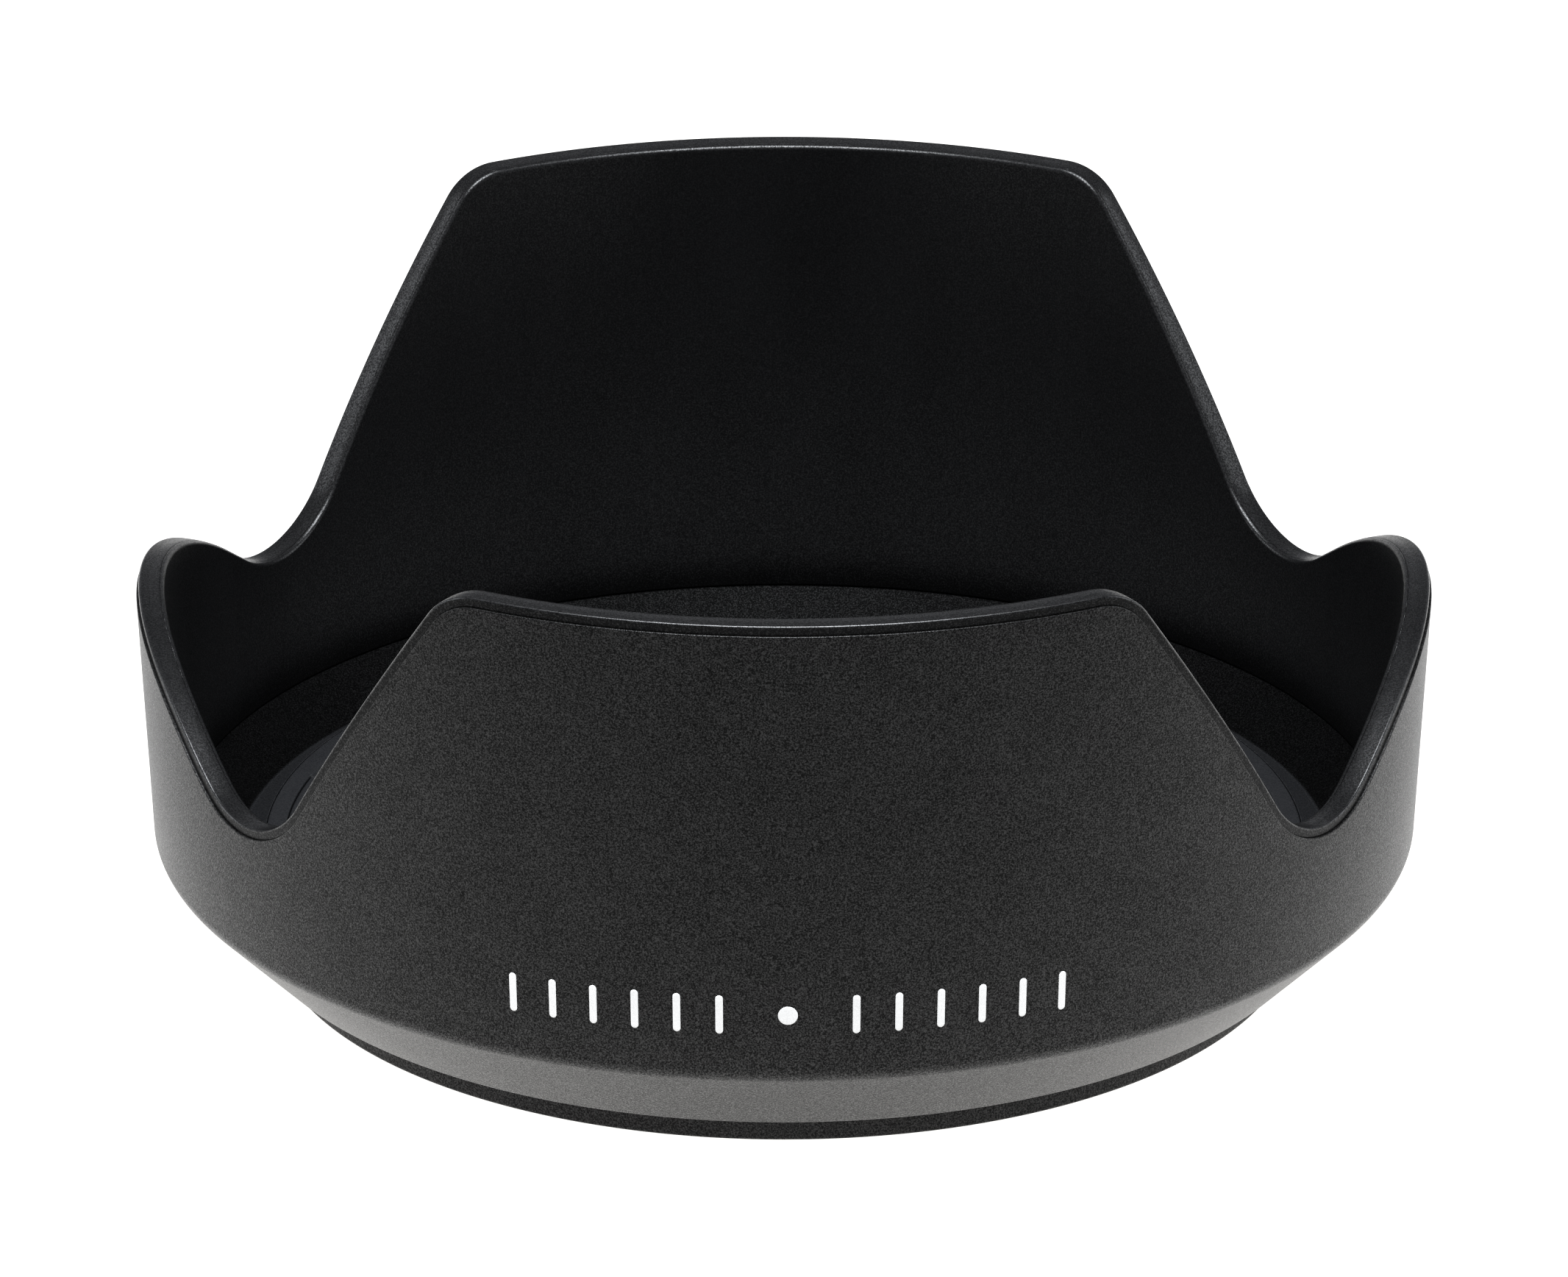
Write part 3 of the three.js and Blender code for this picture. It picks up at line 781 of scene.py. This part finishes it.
class HOOD_OT_bayonet_lugs(bpy.types.Operator):
    """The four bayonet lugs"""

    bl_idname = "hood.bayonet_lugs"
    bl_label = "Bayonet lugs"
    SIDES = 64
    ROUND = 6
    BODY = 40
    CAP = (0.0, 0.5, 0.9)
    SHARPEST = 0.98  # share of the rounding that the end rows lose, so that no points coincide

    def execute(self, context):
        s, finishes, _ = settings(context)
        material = moulded(finishes, s.hub_top)
        for number, name in enumerate(LUG_NAMES):
            points = self.points(s, number * pi / 2)
            piece = add_surface(f"hood_{name}", points, self.wear_and_highlight(), close_ends=False)
            close_poles(piece)
            dress(piece, material, [name])
        return {"FINISHED"}

    def wear_and_highlight(self):
        """Wear and painted highlight of each row: the rounded ends are rubbed and painted lighter, the
        caps and the middle are not.
        """
        ends = [0.7] * (self.ROUND + 1)
        return np.array([0.0] * len(self.CAP) + ends + [0.25] * self.BODY + ends + [0.0] * len(self.CAP))

    def points(self, s, turn):
        """A rounded rectangle in radius and height, carried round the bore. Its edge is drawn in by the
        rounding towards both ends, along a quarter circle, and then shrinks to the middle of the cap."""
        inner, outer = s.bore_radius - s.lug_reach, s.bore_radius + s.bore_chamfer
        half_r, half_z = (outer - inner) / 2, (LUG_HIGH.z - LUG_LOW.z) / 2
        middle = np.array([(outer + inner) / 2, (LUG_HIGH.z + LUG_LOW.z) / 2])
        bevel = s.lug_round

        quarter = np.linspace(0, pi / 2, self.ROUND + 1)
        drawn_in = bevel * (1 - np.sin(quarter))
        end_turn = bevel * (1 - np.cos(quarter)) / middle[0]
        along = np.concatenate((np.zeros(len(self.CAP)), end_turn))
        inset = np.concatenate((np.full(len(self.CAP), bevel), drawn_in))
        shrink = np.concatenate((self.CAP, np.ones(self.ROUND + 1)))
        bevel_turn = bevel / middle[0]
        body = np.linspace(bevel_turn, 2 * s.lug_half - bevel_turn, self.BODY + 2)[1:-1]
        along = np.concatenate((along, body, 2 * s.lug_half - along[::-1]))
        inset = np.concatenate((inset, np.zeros(len(body)), inset[::-1]))[:, None]
        shrink = np.concatenate((shrink, np.ones(len(body)), shrink[::-1]))[:, None]

        around = (np.arange(self.SIDES) + 0.5) * 2 * pi / self.SIDES
        rounding = bevel - inset * self.SHARPEST
        radial = np.sign(np.cos(around)) * (half_r - bevel) + np.cos(around) * rounding
        upward = np.sign(np.sin(around)) * (half_z - bevel) + np.sin(around) * rounding
        radius = middle[0] + radial * shrink
        height = middle[1] + upward * shrink
        spin = (turn - s.lug_half + along)[:, None]
        return np.stack(np.broadcast_arrays(radius * np.cos(spin), radius * np.sin(spin), height), axis=-1)


class HOOD_OT_index_marks(bpy.types.Operator):
    """Plain printed index marks low on the front: two rows of short bars with a dot between them"""

    bl_idname = "hood.index_marks"
    bl_label = "Index marks"
    BARS_EACH_SIDE = 6
    FIRST_BAR = 1.6
    SIDES = 36

    def execute(self, context):
        s, finishes, _ = settings(context)
        barrel = PetalBarrel(s)
        steps = (np.arange(self.BARS_EACH_SIDE) + self.FIRST_BAR) * s.mark_pitch
        half_width, half_height = s.mark_width / 2, s.mark_height / 2
        places = np.concatenate((-steps, steps))
        bars = [self.pad(s, x, half_width, half_height - half_width) for x in places]
        dot = self.pad(s, 0.0, s.mark_width * 1.3, 0.0)
        pieces = [
            add_surface(f"mark_{i}", barrel.place(rows), np.zeros(len(rows)), close_ends=False)
            for i, rows in enumerate([*bars, dot])
        ]
        for piece in pieces:
            close_poles(piece)
        with context.temp_override(active_object=pieces[0], selected_editable_objects=pieces):
            bpy.ops.object.join()
        marks = pieces[0]
        marks.name = marks.data.name = "index_marks"
        dress(marks, printed_ink(finishes))
        return {"FINISHED"}

    def pad(self, s, x, radius, half_length):
        """A thin pad of ink. Its outline is a circle pulled apart upwards by half_length, its rows are
        that outline at growing shares of its size, and its thickness falls to the skin at the edge."""
        around = (np.arange(self.SIDES) + 0.5) * 2 * pi / self.SIDES
        share = np.array([0.0, 0.5, 0.85, 0.95, 1.0, 1.0, 0.0])[:, None]
        proud = s.mark_proud * np.array([1.0, 1.0, 1.0, 0.85, 0.4, -1.0, -1.0])[:, None]
        across = x + radius * np.cos(around) * share
        up = s.mark_level + (radius * np.sin(around) + half_length * np.sign(np.sin(around))) * share
        return np.stack(np.broadcast_arrays(across, -proud, up), axis=-1)


class HOOD_OT_studio(bpy.types.Operator):
    """Pale floor, soft lights and the camera"""

    bl_idname = "hood.studio"
    bl_label = "Studio"

    def execute(self, context):
        s, _, studio = settings(context)
        self.floor(studio)
        self.softbox("top_light", (0.0, -0.16, 0.60), 0.32, 0.30, studio.top_power, s)
        self.softbox("left_light", (-0.75, 0.05, 0.30), 0.5, 0.5, studio.side_power, s)
        self.softbox("right_light", (0.75, 0.05, 0.30), 0.5, 0.5, studio.side_power, s)
        self.camera(studio)
        world = bpy.data.worlds.new("studio_walls")
        world.use_nodes = True
        background = world.node_tree.nodes["Background"]
        background.inputs["Color"].default_value = (0.93, 0.95, 1.0, 1)
        background.inputs["Strength"].default_value = studio.sky_strength
        context.scene.world = world
        context.scene.view_settings.view_transform = "Standard"
        return {"FINISHED"}

    @staticmethod
    def floor(studio):
        """A level square grid, four metres wide."""
        cells = 20
        line = np.linspace(-2, 2, cells + 1)
        x, y = np.meshgrid(line, line)
        points = np.stack((x, y, np.zeros_like(x)), axis=-1).reshape(-1, 3)
        corner = (np.arange(cells)[:, None] * (cells + 1) + np.arange(cells)).reshape(-1, 1)
        quads = corner + np.array([0, 1, cells + 2, cells + 1])
        mesh = bpy.data.meshes.new("floor")
        mesh.from_pydata(points.tolist(), [], quads.tolist())
        piece = bpy.data.objects.new("floor", mesh)
        bpy.context.scene.collection.objects.link(piece)
        mesh.materials.append(pale_floor(studio))

    @staticmethod
    def softbox(name, place, width, depth, power, s):
        """An area light that faces the middle of the hood."""
        lamp = bpy.data.lights.new(name, "AREA")
        lamp.shape = "RECTANGLE"
        lamp.size, lamp.size_y = width, depth
        lamp.energy = power
        lamp.color = (0.93, 0.96, 1.0)
        light = bpy.data.objects.new(name, lamp)
        direction = np.array([0.0, 0.0, s.hood_height / 2]) - np.array(place)
        light.location = place
        light.rotation_euler = lamp_turns(direction)
        bpy.context.scene.collection.objects.link(light)

    @staticmethod
    def camera(studio):
        """A long lens almost straight in front, above the rim."""
        rise, turn, reach = studio.camera_elevation, studio.camera_turn, studio.camera_distance
        lens = bpy.data.cameras.new("camera")
        lens.lens = studio.focal_length
        lens.sensor_width = 36.0
        lens.clip_start, lens.clip_end = 0.05, 20.0
        camera = bpy.data.objects.new("camera", lens)
        flat = reach * cos(rise)
        camera.location = (flat * sin(turn), -flat * cos(turn), studio.aim_height + reach * sin(rise))
        camera.rotation_euler = (pi / 2 - rise, 0.0, turn)
        bpy.context.scene.collection.objects.link(camera)
        bpy.context.scene.camera = camera


def lamp_turns(direction):
    """Turns that point a lamp's -Z along a direction."""
    flat = np.hypot(direction[0], direction[1])
    return (np.arctan2(flat, -direction[2]), 0.0, np.arctan2(direction[1], direction[0]) - pi / 2)


class HOOD_PT_panel(bpy.types.Panel):
    """Lists the hood's pieces in the sidebar"""

    bl_idname = "HOOD_PT_panel"
    bl_label = "Petal lens hood"
    bl_space_type = "VIEW_3D"
    bl_region_type = "UI"
    bl_category = "Hood"

    def draw(self, context):
        for operator in OPERATORS:
            self.layout.operator(operator.bl_idname)


GROUPS = {"hood_sizes": HoodSizes, "hood_finishes": HoodFinishes, "hood_studio": HoodStudio}
OPERATORS = (
    HOOD_OT_outer_shell,
    HOOD_OT_inner_liner,
    HOOD_OT_baffle,
    HOOD_OT_bayonet_ring,
    HOOD_OT_bayonet_lugs,
    HOOD_OT_index_marks,
    HOOD_OT_studio,
)


def register():
    for cls in (*GROUPS.values(), *OPERATORS, HOOD_PT_panel):
        bpy.utils.register_class(cls)
    for name, group in GROUPS.items():
        setattr(bpy.types.Scene, name, bpy.props.PointerProperty(type=group))


def unregister():
    for name in GROUPS:
        delattr(bpy.types.Scene, name)
    for cls in reversed((*GROUPS.values(), *OPERATORS, HOOD_PT_panel)):
        bpy.utils.unregister_class(cls)


def main():
    register()
    bpy.ops.hood.outer_shell()
    bpy.ops.hood.inner_liner()
    bpy.ops.hood.baffle()
    bpy.ops.hood.bayonet_ring()
    bpy.ops.hood.bayonet_lugs()
    bpy.ops.hood.index_marks()
    bpy.ops.hood.studio()


if __name__ == "__main__":
    main()
